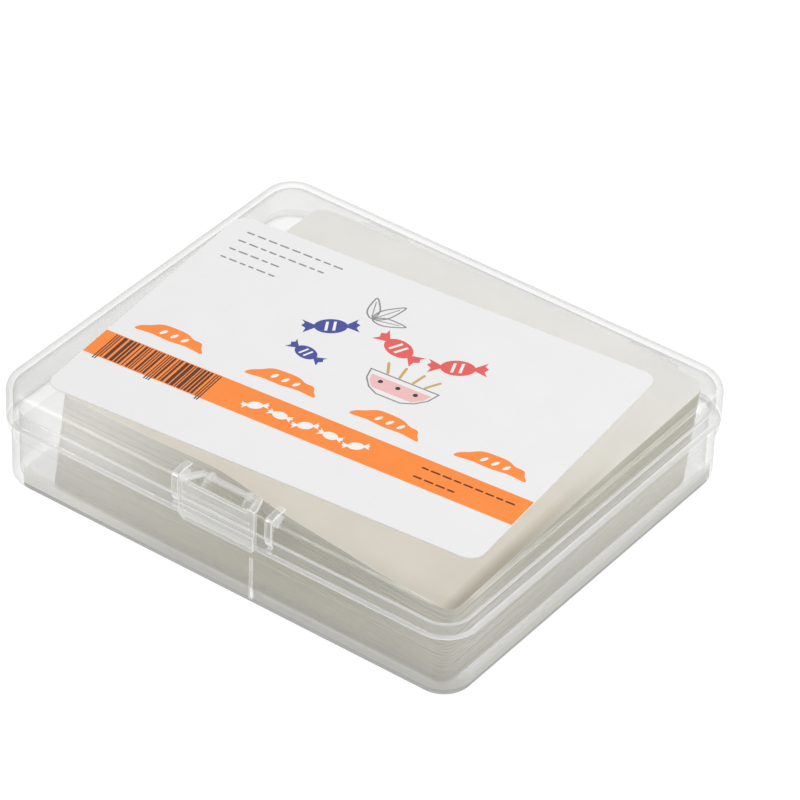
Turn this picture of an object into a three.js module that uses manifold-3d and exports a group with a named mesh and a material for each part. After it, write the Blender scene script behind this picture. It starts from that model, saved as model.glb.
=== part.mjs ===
// A shallow clear plastic box with a hinged lid and a front flap latch, holding a stack of
// wafer paper. Millimetres, +Z up, X along the long side, the latch on the -Y side.
// Origin: centre of the flat foot of the box.
import * as THREE from 'three';
import { mergeVertices } from 'three/addons/utils/BufferGeometryUtils.js';
import Module from 'manifold-3d';

// ---- driving dimensions ------------------------------------------------------------------

const BOX = { long: 90, deep: 75, high: 20, corner: 6 };
const WALL = 1.1;
const PART_LINE = 12;
const LID = { gap: 0.1, fillet: 3 };
const BASE = { inset: 0.76, corner: 5.4, fillet: 2, floor: 1.3, cavityInset: 2, innerFillet: 0.6 };
const FLANGE = { inset: 0.15, under: 9.6, curve: 1.4 };
const RIM = { inset: 1.4, top: 14 };
const FRONT_RIB = { x: 6.1, wide: 0.8, proud: 0.36, low: 0.6, high: 10.3 };

const HINGE = { y: 39.7, z: 12, stationX: 26, pin: 1, bore: 1.1, ring: 2, armEnd: 1.5 };
const KNUCKLE_WIDE = 7;
const ARM = { gap: 0.4, thick: 1.6 };
const CLIP_MOUTH = 1.5;

const EARS = { leftX: -8.3, rightX: 9.7, wide: 1.4, front: -38.1, low: 14.6, top: 20.15 };
const PIVOT = { y: -35.4, z: 20, rod: 0.5, bore: 0.6 };
const LUGS = { leftX: -2.9, rightX: 4.8, wide: 0.8 };
const GROOVE = { leftX: -5.6, rightX: 8, floor: 19.35, back: -34.6 };
const FLAP = { left: -6.4, right: 8.1, inner: -37.75, outer: -38.5, low: 12.6, corner: 1.4 };
const FLAP_TOP = { window: 19.6, arm: 20.45, armUnder: 19.75, armWide: 1, rodEnd: 0.9 };
const FLAP_LIP = { proud: 0.25, high: 15.6 };
const FLAP_RIDGES = { z: [16.8, 18], high: 0.4, proud: 0.15, margin: 0.8 };

const STACK = { left: -36.9, long: 77.6, front: -30.6, deep: 65.2, under: 1.35, corner: 2 };
const STACK_FRONT = { left: 16, crest: 17.4, right: 14.4 };
const STACK_BACK = { left: 16.8, crest: 18.2, right: 17.6 };
const STACK_CREST = 0.44;
const LEAN = { below: 16, right: 0.9, forward: 3.9, turn: -1 };

const LABEL = { long: 78.3, deep: 55.2, thick: 0.2, corner: 2.5, x: -0.7, y: -2.6, turn: 4.9 };

const ARC_STEPS = 10;
const FAR = 200;

// ---- solids ------------------------------------------------------------------------------

const wasm = await Module();
wasm.setup();

/** Turns a closed three.js geometry into a solid that can be joined and cut. */
function toSolid(geometry) {
  const bare = geometry.clone();
  bare.deleteAttribute('normal');
  bare.deleteAttribute('uv');
  const merged = mergeVertices(bare, 1e-5);
  const vertProperties = new Float32Array(merged.attributes.position.array);
  const triVerts = new Uint32Array(merged.index.array);
  return new wasm.Manifold(new wasm.Mesh({ numProp: 3, vertProperties, triVerts }));
}

/** Turns a solid back into a flat-shaded geometry. */
function toGeometry(solid) {
  const { numProp, vertProperties, triVerts } = solid.getMesh();
  const position = new Float32Array(triVerts.length * 3);
  triVerts.forEach((vertex, corner) => {
    for (let axis = 0; axis < 3; axis += 1) {
      position[corner * 3 + axis] = vertProperties[vertex * numProp + axis];
    }
  });
  const geometry = new THREE.BufferGeometry();
  geometry.setAttribute('position', new THREE.BufferAttribute(position, 3));
  geometry.computeVertexNormals();
  return geometry;
}

/** A plain box between two corners. */
function boxSolid(low, high) {
  const size = high.map((value, axis) => value - low[axis]);
  const geometry = new THREE.BoxGeometry(...size);
  geometry.translate(...low.map((value, axis) => value + size[axis] / 2));
  return toSolid(geometry);
}

/** A rectangle with round corners, centred on the origin. */
function roundedRectangle(halfX, halfY, radius) {
  const shape = new THREE.Shape();
  const x = halfX - radius;
  const y = halfY - radius;
  shape.moveTo(x, -halfY);
  shape.absarc(x, -y, radius, -Math.PI / 2, 0);
  shape.absarc(x, y, radius, 0, Math.PI / 2);
  shape.absarc(-x, y, radius, Math.PI / 2, Math.PI);
  shape.absarc(-x, -y, radius, Math.PI, Math.PI * 1.5);
  return shape;
}

/**
 * An upright block with round corners between two heights. One end can be rounded over:
 * `edge` says which, how far in it goes and how high the curve is.
 */
function uprightBlock(halfX, halfY, radius, low, high, edge) {
  const shape = roundedRectangle(halfX, halfY, radius);
  if (!edge) {
    const plain = new THREE.ExtrudeGeometry(shape, {
      depth: high - low, bevelEnabled: false, curveSegments: ARC_STEPS,
    });
    plain.translate(0, 0, low);
    return toSolid(plain);
  }
  const { end, inward, upward } = edge;
  const geometry = new THREE.ExtrudeGeometry(shape, {
    depth: high - low,
    bevelThickness: upward,
    bevelSize: inward,
    bevelOffset: -inward,
    bevelSegments: 6,
    curveSegments: ARC_STEPS,
  });
  const shift = end === 'low' ? low + upward : low - upward;
  geometry.translate(0, 0, shift);
  const beyond = end === 'low'
    ? boxSolid([-FAR, -FAR, high], [FAR, FAR, FAR])
    : boxSolid([-FAR, -FAR, -FAR], [FAR, FAR, low]);
  return toSolid(geometry).subtract(beyond);
}

const SIDE_TO_ROOM = new THREE.Matrix4().makeBasis(
  new THREE.Vector3(0, 1, 0), new THREE.Vector3(0, 0, 1), new THREE.Vector3(1, 0, 0),
);

/** A side profile, drawn in Y and Z, made solid from one X to another. */
function sideProfile(shape, fromX, toX) {
  const geometry = new THREE.ExtrudeGeometry(shape, {
    depth: toX - fromX, bevelEnabled: false, curveSegments: ARC_STEPS,
  });
  geometry.applyMatrix4(SIDE_TO_ROOM);
  geometry.translate(fromX, 0, 0);
  return toSolid(geometry);
}

/** A front profile, drawn in X and Z, made solid from one Y towards the front. */
function frontProfile(shape, backY, thick) {
  const geometry = new THREE.ExtrudeGeometry(shape, {
    depth: thick, bevelEnabled: false, curveSegments: ARC_STEPS,
  });
  geometry.rotateX(Math.PI / 2);
  geometry.translate(0, backY, 0);
  return toSolid(geometry);
}

/** A shape through plain corner points. */
function polygon(points) {
  return new THREE.Shape(points.map(([x, y]) => new THREE.Vector2(x, y)));
}

/** A round bar along X. */
function barAlongX(radius, fromX, toX, y, z, sides = 32) {
  const geometry = new THREE.CylinderGeometry(radius, radius, toX - fromX, sides);
  geometry.rotateZ(Math.PI / 2);
  geometry.translate((fromX + toX) / 2, y, z);
  return toSolid(geometry);
}

function joinAll(solids) {
  return solids.reduce((whole, piece) => whole.add(piece));
}

// ---- hinge, on the back --------------------------------------------------------------------

const STATIONS = [-HINGE.stationX, HINGE.stationX];
const ARM_INNER = KNUCKLE_WIDE / 2 + ARM.gap;

/** One arm of the base: a foot in the flange and a round end over the pin. */
function hingeArm(fromX) {
  const root = BOX.deep / 2 - WALL / 2;
  const { y, z, armEnd } = HINGE;
  const shape = new THREE.Shape();
  shape.moveTo(root, FLANGE.under + 0.2);
  shape.lineTo(y, z - armEnd);
  shape.absarc(y, z, armEnd, -Math.PI / 2, Math.PI * 0.93);
  shape.lineTo(root, PART_LINE - 0.4);
  return sideProfile(shape, fromX, fromX + ARM.thick);
}

/** Both arms of one hinge station with the pin between them. */
function hingeBracket(centreX) {
  const pinReach = ARM_INNER + ARM.thick / 2;
  return joinAll([
    hingeArm(centreX - ARM_INNER - ARM.thick),
    hingeArm(centreX + ARM_INNER),
    barAlongX(HINGE.pin, centreX - pinReach, centreX + pinReach, HINGE.y, HINGE.z),
  ]);
}

/** The lid's knuckle: a ring clipped over the pin, open at the back, and its web. */
function lidKnuckle(centreX) {
  const { y, z, ring } = HINGE;
  const wall = BOX.deep / 2 - WALL / 2;
  const fromX = centreX - KNUCKLE_WIDE / 2;
  const toX = centreX + KNUCKLE_WIDE / 2;
  const web = sideProfile(polygon([
    [wall, z + 0.5], [y - ring * 0.9, z + 0.5], [y, z + ring], [wall, z + ring * 1.9],
  ]), fromX, toX);
  const mouth = boxSolid(
    [fromX - 1, y, z - CLIP_MOUTH / 2 - 0.4],
    [toX + 1, y + ring * 1.5, z + CLIP_MOUTH / 2 - 0.4],
  );
  return barAlongX(ring, fromX, toX, y, z).add(web).subtract(mouth);
}

// ---- base ----------------------------------------------------------------------------------

function baseBox() {
  const halfX = BOX.long / 2;
  const halfY = BOX.deep / 2;
  const tub = uprightBlock(
    halfX - BASE.inset, halfY - BASE.inset, BASE.corner, 0, PART_LINE,
    { end: 'low', inward: BASE.fillet, upward: BASE.fillet },
  );
  const flange = uprightBlock(
    halfX - FLANGE.inset, halfY - FLANGE.inset, BOX.corner, FLANGE.under, PART_LINE,
    { end: 'low', inward: BASE.inset - FLANGE.inset, upward: FLANGE.curve },
  );
  const rim = uprightBlock(
    halfX - RIM.inset, halfY - RIM.inset, BASE.corner - 0.7, PART_LINE - 1, RIM.top,
  );
  const cavity = uprightBlock(
    halfX - BASE.cavityInset, halfY - BASE.cavityInset, BASE.corner - 1.2,
    BASE.floor, RIM.top + 1,
    { end: 'low', inward: BASE.innerFillet, upward: BASE.innerFillet },
  );
  const wallFront = -halfY + BASE.inset;
  const rib = boxSolid(
    [FRONT_RIB.x - FRONT_RIB.wide / 2, wallFront - FRONT_RIB.proud, FRONT_RIB.low],
    [FRONT_RIB.x + FRONT_RIB.wide / 2, wallFront + 0.6, FRONT_RIB.high],
  );
  return joinAll([tub, flange, rim, rib, ...STATIONS.map(hingeBracket)]).subtract(cavity);
}

// ---- lid -----------------------------------------------------------------------------------

/** A guard rib that squares off the lid's rounded front edge beside the latch. */
function lidEar(fromX) {
  const flat = -BOX.deep / 2 + LID.fillet;
  const rooted = -BOX.deep / 2 + WALL / 2;
  const round = 0.7;
  const shape = new THREE.Shape();
  shape.moveTo(flat + 0.4, BOX.high - 0.5);
  shape.lineTo(flat + 0.2, EARS.top);
  shape.lineTo(EARS.front + round, EARS.top - 0.2);
  shape.absarc(EARS.front + round, EARS.top - 0.2 - round, round, Math.PI / 2, Math.PI);
  shape.lineTo(EARS.front, EARS.low + 1.2);
  shape.lineTo(-BOX.deep / 2 - 0.1, EARS.low);
  shape.lineTo(rooted, EARS.low);
  shape.lineTo(rooted, BOX.high - LID.fillet);
  return sideProfile(shape, fromX, fromX + EARS.wide);
}

/** A lug that carries the flap's rod in the groove of the lid's front edge. */
function pivotLug(fromX) {
  const { y, z, bore } = PIVOT;
  const shape = new THREE.Shape();
  shape.moveTo(y + 0.9, GROOVE.floor - 0.4);
  shape.lineTo(y + 0.9, z);
  shape.absarc(y, z, 0.9, 0, Math.PI / 2);
  shape.lineTo(y - 1.3, z + 0.5);
  shape.lineTo(y - 2.15, z - 0.3);
  shape.lineTo(y - 2.05, z - 1.4);
  shape.lineTo(y - 1, z - 1.2);
  const lug = sideProfile(shape, fromX, fromX + LUGS.wide);
  return lug.subtract(barAlongX(bore, fromX - 1, fromX + LUGS.wide + 1, y, z, 24));
}

function boxLid() {
  const halfX = BOX.long / 2;
  const halfY = BOX.deep / 2;
  const low = PART_LINE + LID.gap;
  const cap = uprightBlock(
    halfX, halfY, BOX.corner, low, BOX.high,
    { end: 'high', inward: LID.fillet, upward: LID.fillet },
  );
  const innerFillet = LID.fillet - WALL;
  const cavity = uprightBlock(
    halfX - WALL, halfY - WALL, BOX.corner - WALL, low - 1, BOX.high - WALL,
    { end: 'high', inward: innerFillet, upward: innerFillet },
  );
  const groove = boxSolid(
    [GROOVE.leftX, -halfY - 1, GROOVE.floor], [GROOVE.rightX, GROOVE.back, BOX.high + 1],
  );
  return joinAll([
    cap.subtract(groove),
    lidEar(EARS.leftX),
    lidEar(EARS.rightX),
    pivotLug(LUGS.leftX),
    pivotLug(LUGS.rightX),
    ...STATIONS.map(lidKnuckle),
  ]).subtract(cavity).subtract(joinAll(STATIONS.map(pinBore)));
}

/** The space that the pin takes out of a knuckle. */
function pinBore(centreX) {
  return barAlongX(HINGE.bore, centreX - KNUCKLE_WIDE, centreX + KNUCKLE_WIDE, HINGE.y, HINGE.z);
}

// ---- latch flap ----------------------------------------------------------------------------

/** The flap's front outline up to a given height, with round lower corners. */
function flapOutline(top) {
  const { left, right, low, corner } = FLAP;
  const shape = new THREE.Shape();
  shape.moveTo(left, top);
  shape.lineTo(left, low + corner);
  shape.absarc(left + corner, low + corner, corner, Math.PI, Math.PI * 1.5);
  shape.lineTo(right - corner / 2, low);
  shape.absarc(right - corner / 2, low + corner / 2, corner / 2, Math.PI * 1.5, Math.PI * 2);
  shape.lineTo(right, top);
  return shape;
}

/** One of the two slanted arms from the plate's top corner back to the rod. */
function flapArm(plateX, rodX, side) {
  const { armUnder, arm, armWide } = FLAP_TOP;
  const plan = polygon([
    [rodX, PIVOT.y + 0.45],
    [rodX + side * armWide, PIVOT.y + 0.45],
    [plateX, FLAP.inner - 0.1],
    [plateX, FLAP.outer + 0.2],
    [plateX - side * 0.2, FLAP.outer],
    [plateX - side * armWide * 1.5, FLAP.outer],
    [plateX - side * armWide * 1.5, FLAP.inner],
  ]);
  const geometry = new THREE.ExtrudeGeometry(plan, { depth: arm - armUnder, bevelEnabled: false });
  geometry.translate(0, 0, armUnder);
  return toSolid(geometry);
}

function latchFlap() {
  const thick = FLAP.inner - FLAP.outer;
  const plate = frontProfile(flapOutline(FLAP_TOP.window), FLAP.inner, thick);
  const lip = frontProfile(flapOutline(FLAP_LIP.high), FLAP.inner, thick + FLAP_LIP.proud);
  const corners = [FLAP.left, FLAP.right - armFoot()].map((x) => boxSolid(
    [x, FLAP.outer, FLAP_TOP.window - 1], [x + armFoot(), FLAP.inner, FLAP_TOP.arm - 0.1],
  ));
  const rodLeft = LUGS.leftX - 0.4;
  const rodRight = LUGS.rightX + LUGS.wide + 0.4;
  const rod = barAlongX(
    PIVOT.rod, rodLeft - FLAP_TOP.rodEnd, rodRight + FLAP_TOP.rodEnd, PIVOT.y, PIVOT.z, 24,
  );
  const ridges = FLAP_RIDGES.z.map((z) => boxSolid(
    [FLAP.left + FLAP_RIDGES.margin, FLAP.outer - FLAP_RIDGES.proud, z - FLAP_RIDGES.high / 2],
    [FLAP.right - FLAP_RIDGES.margin, FLAP.outer + 0.1, z + FLAP_RIDGES.high / 2],
  ));
  return joinAll([
    plate, lip, rod, ...corners, ...ridges,
    flapArm(FLAP.left, rodLeft, -1),
    flapArm(FLAP.right, rodRight, 1),
  ]);
}

/** How wide an arm's foot stands on the plate. */
function armFoot() {
  return FLAP_TOP.armWide * 1.5;
}

// ---- contents and label --------------------------------------------------------------------

/** How high the sheets come along one long side: two smooth slopes up to a crest. */
function crestedEdge(edge, share) {
  const rising = share < STACK_CREST;
  const way = rising ? share / STACK_CREST : (1 - share) / (1 - STACK_CREST);
  const foot = rising ? edge.left : edge.right;
  return foot + (edge.crest - foot) * Math.sin(way * Math.PI / 2) ** 2;
}

/** Height of the topmost sheet at a share of the stack's length and depth. */
function stackTop(along, back) {
  const near = crestedEdge(STACK_FRONT, along);
  const far = crestedEdge(STACK_BACK, along);
  return near + (far - near) * back;
}

/** Slides the low sheets to the right and to the front, with the top turned a little. */
function leanOver(solid) {
  const high = LEAN.below - STACK.under;
  return solid.warp((point) => {
    const [x, y, z] = point;
    const low = (LEAN.below - z) / high;
    const turn = THREE.MathUtils.degToRad(LEAN.turn * (1 - low));
    point[0] = x * Math.cos(turn) - y * Math.sin(turn) + LEAN.right * low;
    point[1] = x * Math.sin(turn) + y * Math.cos(turn) - LEAN.forward * low;
  });
}

/** The stack of sheets: a leaning block whose top bows up and rises to the back. */
function paperStack() {
  const { left, long, front, deep, under, corner } = STACK;
  const geometry = new THREE.BoxGeometry(long, deep, 1, 24, 4, 1);
  const { position } = geometry.attributes;
  for (let i = 0; i < position.count; i += 1) {
    const along = position.getX(i) / long + 0.5;
    const back = position.getY(i) / deep + 0.5;
    position.setZ(i, position.getZ(i) < 0 ? under : stackTop(along, back));
  }
  const outline = uprightBlock(long / 2, deep / 2, corner, 0, BOX.high);
  return leanOver(toSolid(geometry).intersect(outline))
    .translate([left + long / 2, front + deep / 2, 0]);
}

function label() {
  const shape = roundedRectangle(LABEL.long / 2, LABEL.deep / 2, LABEL.corner);
  return toSolid(new THREE.ExtrudeGeometry(shape, {
    depth: LABEL.thick, bevelEnabled: false, curveSegments: ARC_STEPS,
  }));
}

// ---- materials and scene -------------------------------------------------------------------

const clearPlastic = { color: 0xe4e6e4, roughness: 0.25, metalness: 0, opacity: 0.35, transparent: true };
const waferPaper = { color: 0xddd8c4, roughness: 0.8, metalness: 0 };
const labelPaper = { color: 0xf0f0f2, roughness: 0.6, metalness: 0 };

function makeMesh(name, solid, look) {
  const mesh = new THREE.Mesh(toGeometry(solid), new THREE.MeshStandardMaterial(look));
  mesh.name = name;
  return mesh;
}

const group = new THREE.Group();
group.add(makeMesh('base_box', baseBox(), clearPlastic));
group.add(makeMesh('box_lid', boxLid(), clearPlastic));
group.add(makeMesh('latch_flap', latchFlap(), clearPlastic));
group.add(makeMesh('paper_stack', paperStack(), waferPaper));

const labelMesh = makeMesh('top_label', label(), labelPaper);
labelMesh.position.set(LABEL.x, LABEL.y, BOX.high + 0.02);
labelMesh.rotation.z = THREE.MathUtils.degToRad(LABEL.turn);
group.add(labelMesh);

export default group;
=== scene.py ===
import math
import random

import bmesh
import bpy
from mathutils import Matrix, Vector


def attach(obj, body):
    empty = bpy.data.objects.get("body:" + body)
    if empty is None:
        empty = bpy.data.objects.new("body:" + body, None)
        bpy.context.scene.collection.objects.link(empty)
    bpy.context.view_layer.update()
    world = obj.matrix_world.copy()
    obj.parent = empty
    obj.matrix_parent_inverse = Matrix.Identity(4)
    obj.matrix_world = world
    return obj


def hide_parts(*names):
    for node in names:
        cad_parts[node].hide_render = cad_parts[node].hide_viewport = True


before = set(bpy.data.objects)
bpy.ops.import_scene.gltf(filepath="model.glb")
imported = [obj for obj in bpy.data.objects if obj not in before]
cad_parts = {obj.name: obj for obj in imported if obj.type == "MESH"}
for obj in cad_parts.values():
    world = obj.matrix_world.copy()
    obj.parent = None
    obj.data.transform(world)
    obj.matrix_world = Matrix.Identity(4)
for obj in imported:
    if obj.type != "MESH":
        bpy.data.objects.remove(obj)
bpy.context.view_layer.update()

MM = 0.001
HALF_TURN = math.pi
QUARTER = math.pi / 2

# ---- sizes of the real box, in millimetres ------------------------------------------------

BOX_HALF_X = 45.0
BOX_HALF_Y = 37.5
BOX_CORNER = 6.0
BOX_HIGH = 20.0
WALL = 1.1
LID_LOW = 12.1
LID_FILLET = 3.0
PART_LINE = 12.0
RIM_TOP = 14.0
BASE_INSET = 0.76
FLOOR_TOP = 1.3
CAVITY_INSET = 2.0
CAVITY_ROUND = 1.0
RIM_INSET = 1.4
RIM_ROUND = 0.18
FLANGE_INSET = 0.15
FLANGE_ROUND = 0.35
FOOT_ROUND = 2.0
RIB_X = (6.1, 6.8)
RIB_Z = (2.0, 10.8)
RIB_PROUD = 0.36
FLAP_X = (-6.4, 8.1)
FLAP_LOW = 12.6
FLAP_BACK = -37.75
FLAP_FRONT = -38.5
GROOVE_X = (-5.6, 8.0)
GROOVE_Y = (-39.0, -34.6)
GROOVE_Z = (19.35, 21.0)
EAR_X = (-8.3, 9.7)
EAR_WIDE = 1.4
EAR_FRONT = -38.1
LUG_X = (-2.9, 4.8)
LUG_WIDE = 0.8
ROD_RADIUS = 0.5
PIVOT = (-35.4, 20.0)
HINGE = (39.7, 12.0)
HINGE_X = (-26.0, 26.0)
KNUCKLE_HALF = 3.5
ARM_WIDE = 1.6
ARM_GAP = 0.4
ARM_ROUND = 1.5
PIN_RADIUS = 1.0
PIN_BORE = 1.1
KNUCKLE_RADIUS = 2.0
SHEET_HALF = (38.7, 32.5)
SHEET_CORNER = 2.2
STACK_MIDDLE = (1.9, 2.0)
STACK_LEAN = (0.9, -3.9)
STACK_TURN = math.radians(-1.0)
LEAN_BELOW = 16.0
LABEL_SIZE = (78.3, 55.2)
LABEL_CENTRE = (-0.7, -2.6)
LABEL_TURN = math.radians(4.9)
LABEL_CORNER = 2.5
LABEL_TOP = 20.2


# ---- mesh tools ----------------------------------------------------------------------------

def new_piece(name, points, faces):
    """A mesh object from points in millimetres."""
    mesh = bpy.data.meshes.new(name)
    mesh.from_pydata([Vector(point) * MM for point in points], [], faces)
    mesh.validate()
    shape = bmesh.new()
    shape.from_mesh(mesh)
    bmesh.ops.recalc_face_normals(shape, faces=shape.faces)
    shape.to_mesh(mesh)
    shape.free()
    piece = bpy.data.objects.new(name, mesh)
    bpy.context.scene.collection.objects.link(piece)
    return piece


def settle(piece):
    """Applies every modifier of a piece to its mesh."""
    graph = bpy.context.evaluated_depsgraph_get()
    mesh = bpy.data.meshes.new_from_object(piece.evaluated_get(graph))
    piece.modifiers.clear()
    old = piece.data
    piece.data = mesh
    mesh.name = piece.name
    bpy.data.meshes.remove(old)


def merge(piece, others, operation="UNION"):
    """Joins or cuts a piece with others, which are used up."""
    for other in others:
        cut = piece.modifiers.new("merge", "BOOLEAN")
        cut.operation = operation
        cut.solver = "EXACT"
        cut.object = other
        settle(piece)
        bpy.data.objects.remove(other)
    return piece


def shade(piece, angle=32):
    """Smooth shading with true flats: faces weigh the normals and sharp edges stay."""
    mesh = piece.data
    mesh.polygons.foreach_set("use_smooth", [True] * len(mesh.polygons))
    mesh.set_sharp_from_angle(angle=math.radians(angle))
    weigh = piece.modifiers.new("weigh", "WEIGHTED_NORMAL")
    weigh.mode = "FACE_AREA"
    weigh.weight = 80
    weigh.keep_sharp = True
    settle(piece)


def mark_faces(piece, plastic, chosen):
    """Gives another material to the faces whose middle and normal pass a test."""
    index = len(piece.data.materials)
    piece.data.materials.append(plastic)
    for face in piece.data.polygons:
        if chosen(face.center / MM, face.normal):
            face.material_index = index


def eased(normal):
    """Whether a face is one of the small bevels between the flat sides."""
    return max(abs(part) for part in normal) < 0.96


def ring(inset, z, half_x=BOX_HALF_X, half_y=BOX_HALF_Y, corner=BOX_CORNER, steps=14):
    """One level of a round-cornered wall, `inset` inside the given outline."""
    x = half_x - inset
    y = half_y - inset
    radius = max(corner - inset, 0.3)
    points = []
    for quarter, (side_x, side_y) in enumerate(((1, -1), (1, 1), (-1, 1), (-1, -1))):
        for step in range(steps + 1):
            angle = (quarter - 1 + step / steps) * QUARTER
            points.append((
                side_x * (x - radius) + radius * math.cos(angle),
                side_y * (y - radius) + radius * math.sin(angle),
                z,
            ))
    return points


def loft(name, rings):
    """A closed solid through rings of the same count, flat at its two ends."""
    count = len(rings[0])
    points = [point for level in rings for point in level]
    faces = []
    for level in range(len(rings) - 1):
        for step in range(count):
            after = (step + 1) % count
            low = level * count
            high = low + count
            faces.append((low + step, low + after, high + after, high + step))
    last = (len(rings) - 1) * count
    faces.append(tuple(range(count))[::-1])
    faces.append(tuple(range(last, last + count)))
    return new_piece(name, points, faces)


def arc(centre, radius, start, end, steps=8):
    """Points on an arc, as (first, second) pairs, angles in degrees."""
    points = []
    for step in range(steps + 1):
        angle = math.radians(start + (end - start) * step / steps)
        points.append((
            centre[0] + radius * math.cos(angle),
            centre[1] + radius * math.sin(angle),
        ))
    return points


AXIS_ORDER = {
    "x": lambda a, b, c: (c, a, b),
    "y": lambda a, b, c: (a, c, b),
    "z": lambda a, b, c: (a, b, c),
}


def slab(u0, v0, u1, v1):
    """A rectangle's four corners, counter-clockwise."""
    return [(u0, v0), (u1, v0), (u1, v1), (u0, v1)]


def prism(name, outline, axis, low, high, soft=0.0, soft_steps=2):
    """An outline of two coordinates made solid along the third axis, its edges eased."""
    place = AXIS_ORDER[axis]
    count = len(outline)
    points = [place(a, b, low) for a, b in outline] + [place(a, b, high) for a, b in outline]
    faces = [tuple(range(count))[::-1], tuple(range(count, 2 * count))]
    faces += [(i, (i + 1) % count, (i + 1) % count + count, i + count) for i in range(count)]
    piece = new_piece(name, points, faces)
    if soft:
        ease = piece.modifiers.new("ease", "BEVEL")
        ease.width = soft * MM
        ease.segments = soft_steps
        ease.limit_method = "ANGLE"
        ease.angle_limit = math.radians(25)
        settle(piece)
    return piece


def bar(name, radius, low, high, y, z, soft=0.0, steps=32):
    """A round bar along X."""
    return prism(name, arc((y, z), radius, 0, 360 - 360 / steps, steps - 1), "x", low, high, soft)


# ---- shader tools --------------------------------------------------------------------------

def material(name):
    """A new material with its node tree and its main shader."""
    made = bpy.data.materials.new(name)
    made.use_nodes = True
    tree = made.node_tree
    shader = tree.nodes["Principled BSDF"]
    return made, tree, shader


def group_tree(name, inputs, outputs):
    """A shader node group with named float or colour sockets."""
    tree = bpy.data.node_groups.new(name, "ShaderNodeTree")
    for label, kind, value in inputs:
        socket = tree.interface.new_socket(label, in_out="INPUT", socket_type=kind)
        if value is not None:
            socket.default_value = value
    for label, kind in outputs:
        tree.interface.new_socket(label, in_out="OUTPUT", socket_type=kind)
    start = tree.nodes.new("NodeGroupInput")
    end = tree.nodes.new("NodeGroupOutput")
    return tree, start, end


def noise(tree, where, scale, detail=3.0, rough=0.5, stretch=None):
    """Noise over object space; stretch squeezes it along the axes."""
    if stretch:
        squeeze = tree.nodes.new("ShaderNodeMapping")
        squeeze.inputs["Scale"].default_value = stretch
        tree.links.new(where, squeeze.inputs["Vector"])
        where = squeeze.outputs["Vector"]
    node = tree.nodes.new("ShaderNodeTexNoise")
    node.inputs["Scale"].default_value = scale
    node.inputs["Detail"].default_value = detail
    node.inputs["Roughness"].default_value = rough
    tree.links.new(where, node.inputs["Vector"])
    return node.outputs["Fac"]


def spread(tree, value, low, high, to_low=0.0, to_high=1.0):
    """Maps a range of a value on to another."""
    node = tree.nodes.new("ShaderNodeMapRange")
    node.inputs["From Min"].default_value = low
    node.inputs["From Max"].default_value = high
    node.inputs["To Min"].default_value = to_low
    node.inputs["To Max"].default_value = to_high
    tree.links.new(value, node.inputs["Value"])
    return node.outputs["Result"]


def blend_colours(tree, factor, first, second):
    """Mixes two colours; each of the three may be a plain value or a socket."""
    node = tree.nodes.new("ShaderNodeMix")
    node.data_type = "RGBA"
    for socket, value in ((node.inputs[6], first), (node.inputs[7], second)):
        if isinstance(value, bpy.types.NodeSocket):
            tree.links.new(value, socket)
        else:
            socket.default_value = (*value, 1.0)
    if isinstance(factor, bpy.types.NodeSocket):
        tree.links.new(factor, node.inputs[0])
    else:
        node.inputs[0].default_value = factor
    return node.outputs[2]


def calc(tree, operation, first, second):
    """One step of arithmetic between plain values or sockets."""
    node = tree.nodes.new("ShaderNodeMath")
    node.operation = operation
    for socket, value in zip(node.inputs, (first, second)):
        if isinstance(value, bpy.types.NodeSocket):
            tree.links.new(value, socket)
        else:
            socket.default_value = value
    return node.outputs[0]


def fade_colours(tree, place, colour, painted_fades):
    """Each fade paints light or shade: it runs along one axis or more, from one place in
    millimetres to another, towards a colour."""
    axes = tree.nodes.new("ShaderNodeSeparateXYZ")
    tree.links.new(place, axes.inputs["Vector"])
    for runs, towards, share in painted_fades:
        reach = share
        for axis, low, high in runs:
            run = spread(tree, axes.outputs[axis], low * MM, high * MM)
            reach = calc(tree, "MULTIPLY", run, reach)
        colour = blend_colours(tree, reach, colour, towards)
    return colour


def use_bump(tree, shader, height, strength, distance):
    """Lets a height field stir the surface without moving it."""
    bump = tree.nodes.new("ShaderNodeBump")
    bump.inputs["Strength"].default_value = strength
    bump.inputs["Distance"].default_value = distance
    tree.links.new(height, bump.inputs["Height"])
    tree.links.new(bump.outputs["Normal"], shader.inputs["Normal"])


def fine_wear_group():
    """Hairline scuffs and slow unevenness, shared by the plastic and the label."""
    tree, start, end = group_tree(
        "fine_wear",
        [("Vector", "NodeSocketVector", None), ("Scuff Scale", "NodeSocketFloat", 900.0),
         ("Wave Scale", "NodeSocketFloat", 60.0)],
        [("Scuffs", "NodeSocketFloat"), ("Waves", "NodeSocketFloat")],
    )
    lines = []
    for stretch in ((1.0, 0.03, 0.3), (0.03, 1.0, 0.3)):
        squeeze = tree.nodes.new("ShaderNodeMapping")
        squeeze.inputs["Scale"].default_value = stretch
        squeeze.inputs["Rotation"].default_value = (0, 0, 0.5 + stretch[0])
        tree.links.new(start.outputs["Vector"], squeeze.inputs["Vector"])
        grain = tree.nodes.new("ShaderNodeTexNoise")
        grain.inputs["Detail"].default_value = 2.0
        tree.links.new(squeeze.outputs["Vector"], grain.inputs["Vector"])
        tree.links.new(start.outputs["Scuff Scale"], grain.inputs["Scale"])
        lines.append(spread(tree, grain.outputs["Fac"], 0.66, 0.74))
    scuffs = calc(tree, "MAXIMUM", lines[0], lines[1])
    wave = tree.nodes.new("ShaderNodeTexNoise")
    wave.inputs["Detail"].default_value = 2.0
    tree.links.new(start.outputs["Vector"], wave.inputs["Vector"])
    tree.links.new(start.outputs["Wave Scale"], wave.inputs["Scale"])
    tree.links.new(scuffs, end.inputs["Scuffs"])
    tree.links.new(wave.outputs["Fac"], end.inputs["Waves"])
    return tree


FINE_WEAR = fine_wear_group()


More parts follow.
